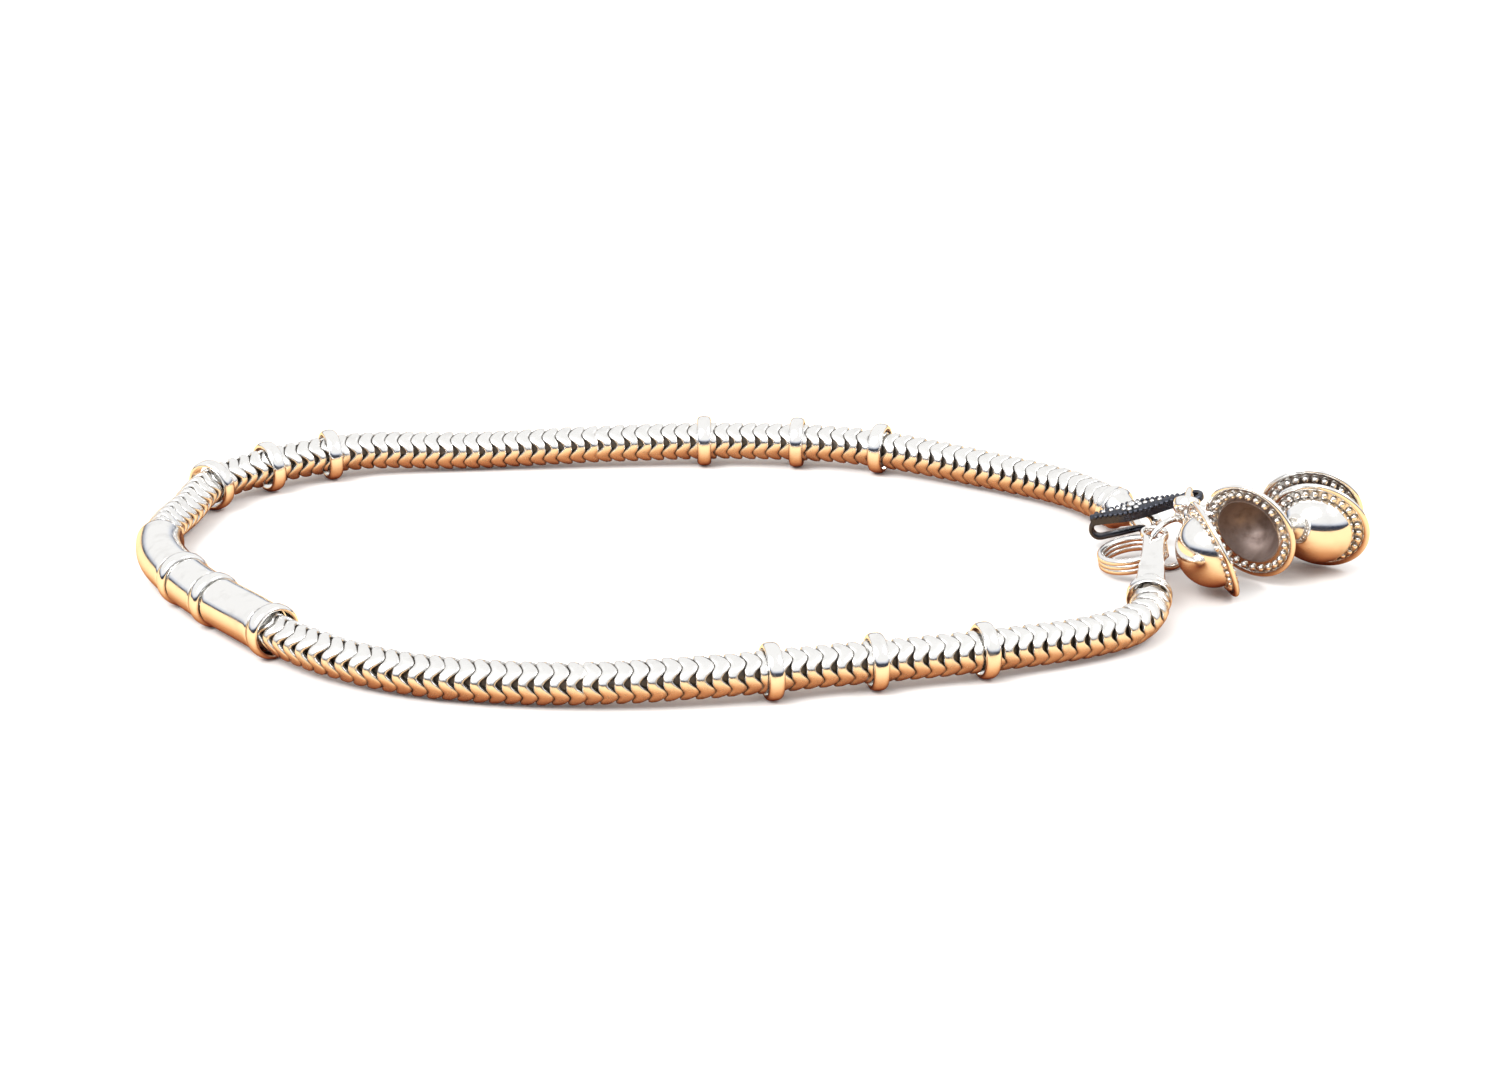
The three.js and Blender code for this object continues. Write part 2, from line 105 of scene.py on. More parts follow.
# The end cap's loop. Its strip opens from root_rise to rise over the spread, above and below.
LOOP = {
    "near": 2.6 * MM, "far": 5.75 * MM, "rise": 0.925 * MM, "root_rise": 0.25 * MM,
    "spread": 1.4 * MM, "strip": 0.46 * MM, "width": 1.3 * MM,
}
# base, waist and tip are half widths. The waist forms between taper and the eye.
TONGUE = {
    "base": 1.45 * MM, "waist": 1.08 * MM, "tip": 1.4 * MM, "thickness": 0.72 * MM,
    "eye_r": 0.96 * MM, "start": 0.8 * MM, "taper": 1.6 * MM, "taper_to_eye": 4.4 * MM,
}
# The tongue's section from its outer edge to its eye: share of the way, height in thicknesses.
TONGUE_SECTION = [(0, 0), (0.05, 0.30), (0.14, 0.46), (0.3, 0.5), (0.7, 0.5), (0.9, 0.38), (1, 0)]

COIL = {
    "outer_r": 3.5 * MM, "wire_r": 0.38 * MM, "turns": 3, "rise": 1.444 * MM,
    "tilt": math.radians(12),
}
COIL_AT = (36.85, 1.5, 0.05)              # its middle and its lowest height, in millimetres
WIRE_R = 0.33 * MM
WIRE_SIDES = 14
SEAM = 0.05 * MM                          # between the two ends of a jump ring's wire, on each side

# The S-hook, by the distance from its tip, which is in the loop's millimetres. Its leaf stops short
# of the eye by end. Its half width is narrow at the ends, and grows by swell over rise and fall.
HOOK_TIP = (32.6, 7.5, 2.9)
LEAF = {
    "start": 0.3 * MM, "end": 0.9 * MM, "narrow": 0.62 * MM, "swell": 0.95 * MM,
    "rise": 4.3 * MM, "fall": 4.4 * MM, "top": 0.28 * MM, "dome": 0.32 * MM,
    "rim": 0.10 * MM, "rim_from": 0.7, "bottom": -0.38 * MM,
}
# The strap under the leaf: where it starts, the bend at the tip, and the lip below.
HOOK_STRAP = {"width": 1.3 * MM, "thickness": 0.5 * MM}
HOOK_STRAP_START = MM * np.array([(2.6, 0, -0.15)])
HOOK_CURL = {"r": 0.85 * MM, "x": 0.9 * MM, "level": -1.0 * MM}
HOOK_LIP = MM * np.array([
    (1.8, 0, -1.85), (2.8, 0, -1.86), (3.8, 0, -1.85), (4.7, 0, -1.88), (5.3, 0, -2.0),
])
LIP_TAPER = (0.95, 0.8, 0.5)              # the width's scale at the last points of the lip
# Granules: the height of their middles, and their radius.
ROSETTE = {"middle": 4.6 * MM, "ring_r": 0.82 * MM, "petals": 7}
MIDDLE_BALL = (0.66 * MM, 0.46 * MM)
PETAL_BALL = (0.52 * MM, 0.31 * MM)
EDGE_BALL = (0.42 * MM, 0.25 * MM)
SPINE_BALL = (0.58 * MM, 0.27 * MM)
SPINE_STATIONS = (1.7, 2.5, 3.2, 6.0, 6.7, 7.5)                # millimetres
EDGE_ROW = {"start": 0.9 * MM, "end": 1.2 * MM, "pitch": 0.52 * MM, "inset": 0.16 * MM}
BRIGHT_BALL_R = 0.26 * MM                 # balls larger than this take the light granule silver; smaller ones share the plate's painted dark reflection

# A jump ring is its middle in the loop's millimetres, two directions in its plane, and its radius
# to the middle of the wire.
LINKS = {
    "jump_ring_join": ((40.5, 2.0, 2.92), (0.9, 0.43, 0), (0, 0, 1), 2.55 * MM),
    "jump_ring_upright": ((42.0, 3.8, 5.3), (0.2, 0.98, 0), (0, 0, 1), 2.35 * MM),
    "jump_ring_flat": ((43.65, 6.2, 4.1), (1, 0, 0), (0, 1, 0), 2.35 * MM),
    "jump_ring_small": ((46.45, 6.2, 4.1), (1, 0, 0), (0, 0, 1), 1.55 * MM),
}
LINK_SEAMS = (70, 250, 60, 200)           # the angle of each jump ring's seam, in degrees
JOIN_BALL = {"angle": -8, "r": 0.6 * MM, "squash": (1, 1, 0.92)}    # solder on the joining ring
# Where the tongue's eye, the hook's eye and the open bell hang on their jump rings, in degrees.
TONGUE_EYE_ANGLE = 150
HOOK_EYE_ANGLE = 20
OPEN_BELL_ANGLE = 138

# The round eyes of the hook and the bells.
EYE = {"middle_r": 1.08 * MM, "rim": 0.56 * MM, "hook_height": 0.8 * MM, "bell_height": 1.2 * MM}
BELL = {
    "flange_r": 5.1 * MM, "dome_r": 3.7 * MM, "dome_height": 3.9 * MM, "wall": 0.4 * MM,
    "mouth_r": 3.42 * MM, "foot": 0.05 * MM, "channel": 0.12 * MM, "groove": 0.04 * MM,
    "beads": 27, "bead_r": 0.35 * MM, "bead_ring_r": 4.04 * MM, "bead_lift": 0.02 * MM,
    "segments": 108,
}
# The flange's rolled band. reach is the angle where it meets the flange, from its outermost line.
BAND = {"half_width": 0.36 * MM, "half_height": 0.27 * MM, "reach": 0.93 * np.pi}
BELL_STRAP = {
    "inset": 0.7 * MM, "lift": 0.2 * MM, "stop": 1.15 * MM, "sag": 0.05 * MM, "waist": 0.2,
    "width": 1.2 * MM, "thickness": 0.5 * MM, "steps": 9,
}
# A bell half is the middle of its flange's mouth face, in the loop's millimetres, and the direction
# from there to its pole.
OPEN_HALVES = [((43.9, -4.1, 4.95), (-0.90, -0.20, -0.39)), ((47.3, -1.5, 5.6), (0.60, 0.77, 0.22))]
SHUT_HALVES = [((54.7, 2.2, 5.05), (-0.35, -0.88, -0.32)), ((54.2, 4.3, 5.5), (0.22, 0.93, 0.297))]
SHUT_EYE = (48.0, 6.2, 4.1)


# ---- Small geometry helpers ---------------------------------------------------------------------

def unit(vector):
    """The vector at a length of 1."""
    vector = np.asarray(vector, float)
    return vector / np.linalg.norm(vector)


def place(x, y, z):
    """A point given in the loop's millimetres, as a point of the frame in metres."""
    return MM * (np.array([x, y, z]) - CENTRE)


def frame_of(x, y, z, origin):
    """A frame as a 4 by 4 array, from its axes and its origin."""
    matrix = np.eye(4)
    matrix[:3] = np.column_stack([x, y, z, origin])
    return matrix


def frame_at(origin, x_axis, z_hint):
    """A frame whose X axis is a direction, and whose Z axis leans towards another."""
    x = unit(x_axis)
    y = unit(np.cross(z_hint, x))
    return frame_of(x, y, np.cross(x, y), origin)


def axis_frame(origin, axis):
    """A frame whose Z axis is a direction, for what is turned on a lathe."""
    z = unit(axis)
    x = unit(np.cross(UP if abs(z[2]) < NEARLY_UPRIGHT else (1.0, 0.0, 0.0), z))
    return frame_of(x, np.cross(z, x), z, origin)


def moved(points, matrix):
    """Points of a frame's own axes, in the axes that the frame is given in."""
    return np.asarray(points) @ matrix[:3, :3].T + matrix[:3, 3]


def grid_faces(rows, columns, wrap_rows, wrap_columns):
    """The quads of a grid of points, counted row by row."""
    row = np.arange(rows if wrap_rows else rows - 1)
    column = np.arange(columns if wrap_columns else columns - 1)
    r, c = (a.ravel() for a in np.meshgrid(row, column, indexing="ij"))
    r2, c2 = (r + 1) % rows, (c + 1) % columns
    return np.stack([r * columns + c, r2 * columns + c, r2 * columns + c2, r * columns + c2], 1)


class Shape:
    """Points and faces gathered into one mesh, each face with the number of its material."""

    def __init__(self):
        self.points = []
        self.faces = []
        self.materials = []
        self.count = 0

    def add(self, points, faces, material=0):
        points = np.asarray(points, float).reshape(-1, 3)
        self.points.append(points)
        self.faces += [[int(i) + self.count for i in face] for face in faces]
        self.materials += [material] * len(faces)
        self.count += len(points)

    def grid(self, points, wrap_rows=True, wrap_columns=True, caps=False, material=0):
        """points is rows by columns by 3. caps closes the first and last row with one face each."""
        rows, columns = points.shape[:2]
        faces = [list(f) for f in grid_faces(rows, columns, wrap_rows, wrap_columns)]
        if caps:
            last_row = [(rows - 1) * columns + i for i in reversed(range(columns))]
            faces += [list(range(columns)), last_row]
        self.add(points, faces, material)

    def lathe(self, profile, matrix, segments=64, material=0, closed=True):
        """profile is rows of radius and height along Z. A closed one is a loop off the axis."""
        profile = np.array(profile)
        angle = np.arange(segments) * 2 * np.pi / segments
        radius, height = profile[:, 0][:, None], profile[:, 1][:, None]
        points = np.stack([radius * np.cos(angle), radius * np.sin(angle), height + 0 * angle], -1)
        self.grid(moved(points, matrix), wrap_rows=closed, wrap_columns=True, material=material)

    def ball(self, centre, radius, subdivisions=2, squash=(1, 1, 1), material=0):
        points, faces = unit_ball(subdivisions)
        self.add(np.asarray(centre) + points * radius * np.array(squash), faces, material)

    def object(self, name, *materials, sharp=40):
        mesh = bpy.data.meshes.new(name)
        mesh.from_pydata(np.concatenate(self.points).tolist(), [], self.faces)
        mesh.polygons.foreach_set("material_index", self.materials)
        for material in materials:
            mesh.materials.append(material)
        tidy_mesh(mesh, math.radians(sharp))
        piece = bpy.data.objects.new(name, mesh)
        bpy.context.scene.collection.objects.link(piece)
        return piece


@functools.lru_cache(maxsize=None)
def unit_ball(subdivisions):
    """The points and faces of a ball of radius 1."""
    ball = bmesh.new()
    bmesh.ops.create_icosphere(ball, subdivisions=subdivisions, radius=1)
    points = np.array([v.co[:] for v in ball.verts])
    faces = [[v.index for v in f.verts] for f in ball.faces]
    ball.free()
    return points, faces


def tidy_mesh(mesh, sharp_angle):
    """Welds doubled points, turns every face outward and shades the mesh smooth up to an angle."""
    work = bmesh.new()
    work.from_mesh(mesh)
    bmesh.ops.remove_doubles(work, verts=work.verts, dist=WELD)
    bmesh.ops.recalc_face_normals(work, faces=work.faces)
    work.to_mesh(mesh)
    work.free()
    mesh.polygons.foreach_set("use_smooth", [True] * len(mesh.polygons))
    mesh.set_sharp_from_angle(angle=sharp_angle)


def oval(width, height, count, power=2.0):
    """A closed section of a strip or wire: a superellipse of this width and height."""
    angle = np.arange(count) * 2 * np.pi / count
    across, up = (np.sign(v) * np.abs(v) ** (2 / power) for v in (np.cos(angle), np.sin(angle)))
    return np.stack([across * width / 2, up * height / 2], 1)


def sweep(path, normals, section, scale=None):
    """Rows of a section carried along a path. The section's second axis follows normals."""
    path = np.asarray(path, float)
    tangent = np.gradient(path, axis=0)
    tangent /= np.linalg.norm(tangent, axis=1)[:, None]
    normals = np.asarray(normals, float) * np.ones_like(path)
    normals = normals - (normals * tangent).sum(1)[:, None] * tangent
    normals /= np.linalg.norm(normals, axis=1)[:, None]
    side = np.cross(tangent, normals)
    scale = np.ones((len(path), 2)) if scale is None else np.asarray(scale)
    across = section[None, :, 0, None] * scale[:, 0, None, None] * side[:, None, :]
    along = section[None, :, 1, None] * scale[:, 1, None, None] * normals[:, None, :]
    return path[:, None, :] + across + along


def smooth_step(x):
    """Rises smoothly from 0 to 1 as x does, and stays level outside."""
    x = np.clip(x, 0, 1)
    return x * x * (3 - 2 * x)


# ---- The chain's route --------------------------------------------------------------------------

def centripetal(points, steps):
    """Points on a centripetal Catmull-Rom curve through the given ones."""
    padded = [2 * points[0] - points[1], *points, 2 * points[-1] - points[-2]]
    u = np.linspace(0, 1, steps, endpoint=False)[:, None]
    stretches = []
    for p0, p1, p2, p3 in zip(padded, padded[1:], padded[2:], padded[3:]):
        d0, d1, d2 = (math.sqrt(np.linalg.norm(b - a)) for a, b in ((p0, p1), (p1, p2), (p2, p3)))
        t1 = ((p1 - p0) / d0 - (p2 - p0) / (d0 + d1) + (p2 - p1) / d1) * d1
        t2 = ((p2 - p1) / d1 - (p3 - p1) / (d1 + d2) + (p3 - p2) / d2) * d1
        square = 3 * (p2 - p1) - 2 * t1 - t2
        cube = 2 * (p1 - p2) + t1 + t2
        stretches.append(p1 + t1 * u + square * u ** 2 + cube * u ** 3)
    return np.concatenate([*stretches, points[-1:]])


class Route:
    """The chain's middle, by the distance along it."""

    def __init__(self, points):
        self.samples = centripetal(points, steps=60)
        steps = np.linalg.norm(np.diff(self.samples, axis=0), axis=1)
        self.stations = np.concatenate([[0], np.cumsum(steps)])
        self.length = self.stations[-1]
        self.tangents = np.gradient(self.samples, self.stations, axis=0)

    def at(self, distance):
        """Position, tangent, side and up at some distances; past the ends it runs straight on."""
        distance = np.asarray(distance, float)
        inside = np.clip(distance, 0, self.length)

        def sampled(table):
            return np.stack([np.interp(inside, self.stations, table[:, i]) for i in range(3)], -1)

        tangent = sampled(self.tangents)
        tangent /= np.linalg.norm(tangent, axis=-1, keepdims=True)
        position = sampled(self.samples) + (distance - inside)[..., None] * tangent
        side = np.cross(tangent, UP)
        side /= np.linalg.norm(side, axis=-1, keepdims=True)
        return position, tangent, side, np.cross(side, tangent)

    def round(self, distance, angle, radius):
        """Points at an angle round the chain and a radius from its middle."""
        position, _, side, up = self.at(distance)
        outward = np.cos(angle)[..., None] * side + np.sin(angle)[..., None] * up
        return position + radius[..., None] * outward


route = Route(ROUTE_POINTS)


# ---- Materials ----------------------------------------------------------------------------------

# What the silvers share. A range is of the texture's or the ambient occlusion's own value.
GRAIN_SCALE = 6                           # to the clouds' scale
SCRATCH_SCALE, SCRATCH_STRETCH = 2.5, (1, 9, 1)
CREVICE_RANGE, CREVICE_SAMPLES = (0.35, 0.92), 6             # from full tarnish to none
STAIN_RANGE, STAIN_SHARE = (0.52, 0.78), 0.22                # clouds, and their share of the depth
RUBBED_RANGE, RUBBED_SCALE = (0.3, 0.7), (0.7, 1.35)         # clouds, and what roughness is times
SCRATCH_RANGE, SCRATCH_ROUGHNESS = (0.4, 0.8), 0.07
STAIN_ROUGHNESS = 0.3
GRAIN_HEIGHT, SCRATCH_HEIGHT, BUMP_HEIGHT = 0.35, 0.65, 0.05 * MM


def silver(name, colour, tarnish, roughness, spots, crevice, depth, bump):
    """Silver with tarnish in its crevices, cloudy rubbing on its crowns and fine scratches."""
    material = bpy.data.materials.new(name)
    material.use_nodes = True
    nodes, links = material.node_tree.nodes, material.node_tree.links
    shader = nodes["Principled BSDF"]
    shader.inputs["Metallic"].default_value = 1.0
    place_node = nodes.new("ShaderNodeTexCoord")

    def noise(scale, detail, stretch=(1, 1, 1)):
        mapping = nodes.new("ShaderNodeMapping")
        mapping.inputs["Scale"].default_value = stretch
        links.new(place_node.outputs["Object"], mapping.inputs["Vector"])
        texture = nodes.new("ShaderNodeTexNoise")
        texture.inputs["Scale"].default_value = scale
        texture.inputs["Detail"].default_value = detail
        links.new(mapping.outputs["Vector"], texture.inputs["Vector"])
        return texture.outputs["Fac"]

    def span(value, low, high, to_low, to_high):
        node = nodes.new("ShaderNodeMapRange")
        sockets = ("From Min", "From Max", "To Min", "To Max")
        for socket, number in zip(sockets, (low, high, to_low, to_high)):
            node.inputs[socket].default_value = number
        links.new(value, node.inputs["Value"])
        return node.outputs["Result"]

    def math_node(operation, first, second):
        node = nodes.new("ShaderNodeMath")
        node.operation = operation
        for socket, value in zip(node.inputs, (first, second)):
            if isinstance(value, (int, float)):
                socket.default_value = value
            else:
                links.new(value, socket)
        return node.outputs["Value"]

    cloud = noise(spots, detail=4)
    grain = noise(spots * GRAIN_SCALE, detail=3)
    scratch = noise(spots * SCRATCH_SCALE, detail=2, stretch=SCRATCH_STRETCH)
    hollow = nodes.new("ShaderNodeAmbientOcclusion")
    hollow.inputs["Distance"].default_value = crevice
    hollow.samples = CREVICE_SAMPLES
    hollow.only_local = True
    shade = span(hollow.outputs["AO"], *CREVICE_RANGE, depth, 0.0)
    stain = math_node("ADD", shade, span(cloud, *STAIN_RANGE, 0.0, STAIN_SHARE * depth))

    mix = nodes.new("ShaderNodeMix")
    mix.data_type = "RGBA"
    mix.inputs["A"].default_value = (*colour, 1)
    mix.inputs["B"].default_value = (*tarnish, 1)
    links.new(stain, mix.inputs["Factor"])
    links.new(mix.outputs["Result"], shader.inputs["Base Color"])

    rubbed = span(cloud, *RUBBED_RANGE, *(roughness * scale for scale in RUBBED_SCALE))
    rough = math_node("ADD", rubbed, span(scratch, *SCRATCH_RANGE, 0.0, SCRATCH_ROUGHNESS))
    stained = math_node("MULTIPLY", stain, STAIN_ROUGHNESS)
    links.new(math_node("ADD", rough, stained), shader.inputs["Roughness"])

    grains = math_node("MULTIPLY", grain, GRAIN_HEIGHT)
    scratches = math_node("MULTIPLY", scratch, SCRATCH_HEIGHT)
    height = math_node("ADD", grains, scratches)
    bumps = nodes.new("ShaderNodeBump")
    bumps.inputs["Strength"].default_value = bump
    bumps.inputs["Distance"].default_value = BUMP_HEIGHT
    links.new(height, bumps.inputs["Height"])
    links.new(bumps.outputs["Normal"], shader.inputs["Normal"])
    return material


# The silvers: base colour, colour of the tarnish, roughness, clouds per metre, width of a tarnished
# crevice, how dark it is, and the strength of the scratches.
SILVER_LOOKS = {
    "chain": ((0.90, 0.89, 0.87), (0.10, 0.085, 0.07), 0.20, 1100, 0.55 * MM, 0.95, 0.10),
    # The chain's core is a dark tube: painted shade where the chain's inside is in shadow.
    "core": ((0.16, 0.14, 0.12), (0.04, 0.035, 0.03), 0.45, 1400, 0.4 * MM, 0.9, 0.2),
    "polished": ((0.93, 0.92, 0.90), (0.30, 0.26, 0.22), 0.10, 700, 0.5 * MM, 0.7, 0.05),
    "wire": ((0.90, 0.89, 0.87), (0.16, 0.14, 0.12), 0.13, 900, 0.6 * MM, 0.9, 0.08),
    # The hook's plate is near-black navy: a painted dark reflection of a dark surround.
    "oxidised": ((0.07, 0.075, 0.095), (0.012, 0.012, 0.016), 0.30, 1300, 0.8 * MM, 1.0, 0.2),
    "granule": ((0.72, 0.72, 0.73), (0.03, 0.03, 0.035), 0.2, 1300, 0.5 * MM, 1.0, 0.15),
    "bell": ((0.93, 0.92, 0.90), (0.32, 0.28, 0.25), 0.09, 500, 0.45 * MM, 0.75, 0.04),
    # The bells' insides are dull brown: painted shade and a painted reflection of a warm floor.
    "hollow": ((0.40, 0.32, 0.29), (0.15, 0.11, 0.10), 0.62, 800, 1.6 * MM, 0.8, 0.2),
}
SILVER_NAMES = {"core": "chain_core_painted_shade", "hollow": "bell_hollow_painted_shade"}
SILVER = {
    key: silver(SILVER_NAMES.get(key, f"{key}_silver"), *look) for key, look in SILVER_LOOKS.items()
}


# ---- Handing pieces to the frame ----------------------------------------------------------------

def finish_piece(piece, slot, *nodes):
    """Gives a piece its body and hides the CAD nodes that it replaces. The slot is not used."""
    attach(piece, "root")
    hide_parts(*nodes)


# ---- Chain --------------------------------------------------------------------------------------

def face_share(angle):
    """1 in the middle of a face of the square chain and 0 on its corners."""
    return 0.5 + 0.5 * np.cos(4 * angle)


def chain_links(centres, jitter):
    """Folded wire loops nested in one another, as rows of points: loop by station by section."""
    section = oval(1, 1, count=14, power=3.4)[None, None]
    along, turned, outward = (column[:, None, None] for column in jitter.T)
    angle = (np.arange(CHAIN["stations"]) * 2 * np.pi / CHAIN["stations"])[None, :, None]
    face = face_share(angle)
    radius = CHAIN["corner_r"] + (CHAIN["face_r"] - CHAIN["corner_r"]) * face ** CHAIN["face_power"]
    narrowing = (CHAIN["face_width"] - CHAIN["corner_width"]) * (1 - face) ** CHAIN["corner_power"]
    width = CHAIN["face_width"] - narrowing
    axial = CHAIN["chevron"] * (2 * face - 1) + width * section[..., 0]
    radial = radius - CHAIN["wire"] / 2 + CHAIN["wire"] * section[..., 1] + outward
    distance = centres[:, None, None] + along + axial
    stations, degrees = zip(*CHAIN_ROLL)
    roll = np.radians(np.interp(distance, stations, degrees)) + turned
    return route.round(distance, angle + roll, radial)


def make_chain():
    first, last = CHAIN["first"], route.length - CHAIN["last"]
    count = round((last - first) / CHAIN["pitch"])
    centres = np.linspace(first, last, count)
    spread = np.random.default_rng(SEED).uniform(-1, 1, (count, 3))
    loops = chain_links(centres, spread * np.array(CHAIN_JITTER))
    for number, part in enumerate(np.array_split(loops, CHAIN["pieces"]), 1):
        shape = Shape()
        for loop in part:
            shape.grid(loop)
        links = shape.object(f"chain_links_{number}", SILVER["chain"], sharp=60)
        finish_piece(links, "chain_silver", "snake_chain")


# A dark tube down the chain's middle: painted shade that fills the gaps between the loops, where
# the inside is in shadow.
def make_painted_shade_core():
    distance = np.linspace(0, route.length, CHAIN_CORE["steps"])
    angle = np.linspace(0, 2 * np.pi, CHAIN_CORE["sides"], endpoint=False)
    distance, angle = np.meshgrid(distance, angle, indexing="ij")
    shape = Shape()
    points = route.round(distance, angle, CHAIN["core_r"] + 0 * distance)
    shape.grid(points, wrap_rows=False, caps=True)
    finish_piece(shape.object("chain_core", SILVER["core"]), "chain_silver", "snake_chain")


# ---- Spacer rings and sleeves -------------------------------------------------------------------

def ring_profile():
    """A plain band, half-round in section."""
    across = np.linspace(-1, 1, 33)
    crown = (1 - np.abs(across) ** RING["crown_power"]) ** 0.5
    rise = RING["r"] - RING["bore"]
    radius = RING["bore"] + rise * (RING["edge"] + (1 - RING["edge"]) * crown)
    outside = list(zip(radius, across * RING["width"] / 2))
    bore_end = RING["width"] / 2 - RING["bore_inset"]
    return [(RING["bore"], -bore_end), *outside, (RING["bore"], bore_end)]


def make_spacer_ring(number, station):
    """A ring in the middle of its CAD solid's box, square to the chain as seen from above."""
    node = f"spacer_ring_{number:02d}"
    low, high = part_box(node)
    _, tangent, _, _ = route.at(np.array(station * MM))
    middle = np.array((low + high) / 2)
    shape = Shape()
    shape.lathe(ring_profile(), axis_frame(middle, tangent * (1, 1, 0)), RING["segments"])
    piece = shape.object(f"{node}_finish", SILVER["polished"], sharp=50)
    finish_piece(piece, "polished_silver", node)


def make_sleeve(number, start, end):
    """A smooth tube bent with the chain, its ends rolled in, with shallow dents from wear."""
    lip = SLEEVE_LIP["depth"]
    shoulder = SLEEVE_LIP["shoulder"] * lip
    steps = np.linspace(start + lip, end - lip, SLEEVE["outer_steps"])
    outside = np.concatenate([[start, start + shoulder], steps, [end - shoulder, end]])
    drop = np.concatenate([[lip, shoulder], 0 * steps, [shoulder, lip]])
    inside = np.linspace(end, start, SLEEVE["bore_steps"])
    distance = np.concatenate([outside, inside])[:, None]
    radius = np.concatenate([SLEEVE["r"] - drop, 0 * inside + SLEEVE["bore"]])[:, None]
    angle = np.linspace(0, 2 * np.pi, SLEEVE["sides"], endpoint=False)[None, :]
    swirl = np.sin(2 * angle + SLEEVE_DENTS["swirl"] * distance)
    dents = SLEEVE_DENTS["depth"] * swirl * np.sin(SLEEVE_DENTS["wave"] * distance + number)
    worn = radius + dents * (radius > SLEEVE["bore"])
    shape = Shape()
    shape.grid(route.round(distance + 0 * angle, angle + 0 * distance, worn))
    name = f"polished_sleeve_{number}"
    finish_piece(shape.object(f"{name}_finish", SILVER["polished"]), "polished_silver", name)


def make_rings_and_sleeves():
    for number, station in enumerate(RING_STATIONS, 1):
        make_spacer_ring(number, station)
    edge = RING["width"] / MM / 2 + SLEEVE["gap"]
    starts = [SLEEVE["start"]] + [RING_STATIONS[i] + edge for i in SLEEVE["rings"]]
    for number, (start, ring) in enumerate(zip(starts, SLEEVE["rings"]), 1):
        make_sleeve(number, start * MM, (RING_STATIONS[ring] - edge) * MM)


# ---- End caps -----------------------------------------------------------------------------------

def cap_cone(shape, origin, heading):
    """A collar with two rolled edges over the chain's end, then a long taper."""
    shape.lathe(np.array(CAP_PROFILE) * MM, axis_frame(origin, heading), segments=56)


def link_frame(link):
    """A jump ring's own frame, with the ring in its XY plane."""
    at, along, up, _ = LINKS[link]
    x, y = unit(along), unit(up)
    return frame_of(x, y, np.cross(x, y), place(*at))


def link_point(link, degrees):
    """A point on the middle of a jump ring's wire."""
    radius = LINKS[link][3]
    angle = math.radians(degrees)
    return moved([radius * math.cos(angle), radius * math.sin(angle), 0], link_frame(link))


def link_tangent(link, degrees):
    """The direction of a jump ring's wire at an angle."""
    angle = math.radians(degrees)
    return link_frame(link)[:3, :3] @ np.array([-math.sin(angle), math.cos(angle), 0])


def make_loop_cap():
    """The end cap with a narrow upright loop of flattened wire in front of its cup."""
    end, tangent, _, _ = route.at(np.array(0.0))
    heading = unit(-tangent * (1, 1, 0))
    shape = Shape()
    cap_cone(shape, end, heading)
    matrix = frame_at(end, heading, UP)
    near, far, rise, root = LOOP["near"], LOOP["far"], LOOP["rise"], LOOP["root_rise"]
    turn = np.linspace(-np.pi / 2, np.pi / 2, 19)
    reach = np.linspace(near, far, 22)
    spread = root + (rise - root) * smooth_step((reach - near) / LOOP["spread"])
    bottom = np.stack([reach, 0 * reach, -spread], 1)
    bend = np.stack([far + rise * np.cos(turn), 0 * turn, rise * np.sin(turn)], 1)[1:-1]
    top = np.stack([reach, 0 * reach, spread], 1)[::-1]
    path = moved(np.concatenate([bottom, bend, top]), matrix)
    section = oval(LOOP["strip"], LOOP["width"], count=16, power=3.2)
    shape.grid(sweep(path, matrix[:3, 1], section), wrap_rows=False, caps=True)
    piece = shape.object("end_cap_loop_finish", SILVER["polished"])
    finish_piece(piece, "polished_silver", "end_cap_loop")


def tongue_half_width(x, reach):
    """Half of the tongue's width at a distance along it: a base, a waist and the round eye."""
    base, waist = TONGUE["base"], TONGUE["waist"]
    taper = smooth_step((x - TONGUE["taper"]) / (reach - TONGUE["taper_to_eye"]))
    slim = base + (waist - base) * taper
    eye = np.sqrt(np.maximum(TONGUE["tip"] ** 2 - (x - reach) ** 2, 0))
    return np.maximum(slim * (x < reach), eye)


def tongue_strip(shape, matrix, reach):
    """A flat strip with rounded edges and a round eye at its tip.

    Loops of points follow the outline, from its edge over the top to the eye's edge and back below.
    """
    start, eye_r = TONGUE["start"], TONGUE["eye_r"]
    side = start + (reach + TONGUE["tip"] - start) * smooth_step(np.linspace(0, 1, 60))
    half = tongue_half_width(side, reach)
    outer = np.concatenate([np.stack([side, half], 1), np.stack([side, -half], 1)[::-1][1:]])
    angle = np.unwrap(np.arctan2(outer[:, 1], outer[:, 0] - reach))
    hole = np.stack([reach + eye_r * np.cos(angle), eye_r * np.sin(angle)], 1)
    loops = []
    for share, height in TONGUE_SECTION:
        flat = outer + (hole - outer) * share
        loops.append(np.column_stack([flat, np.full(len(flat), height * TONGUE["thickness"])]))
    loops += [loop * (1, 1, -1) for loop in reversed(loops[1:-1])]
    shape.grid(moved(np.array(loops), matrix))


def make_tongue_cap():
    """The end cap with a long tongue that the joining ring goes through."""
    end, _, _, _ = route.at(np.array(route.length))
    along = link_point("jump_ring_join", TONGUE_EYE_ANGLE) - end
    shape = Shape()
    cap_cone(shape, end, along)
    matrix = frame_at(end, along, UP)
    tongue_strip(shape, matrix, np.linalg.norm(along))
    piece = shape.object("end_cap_tongue_finish", SILVER["polished"])
    finish_piece(piece, "polished_silver", "end_cap_tongue")


# ---- Clasp --------------------------------------------------------------------------------------

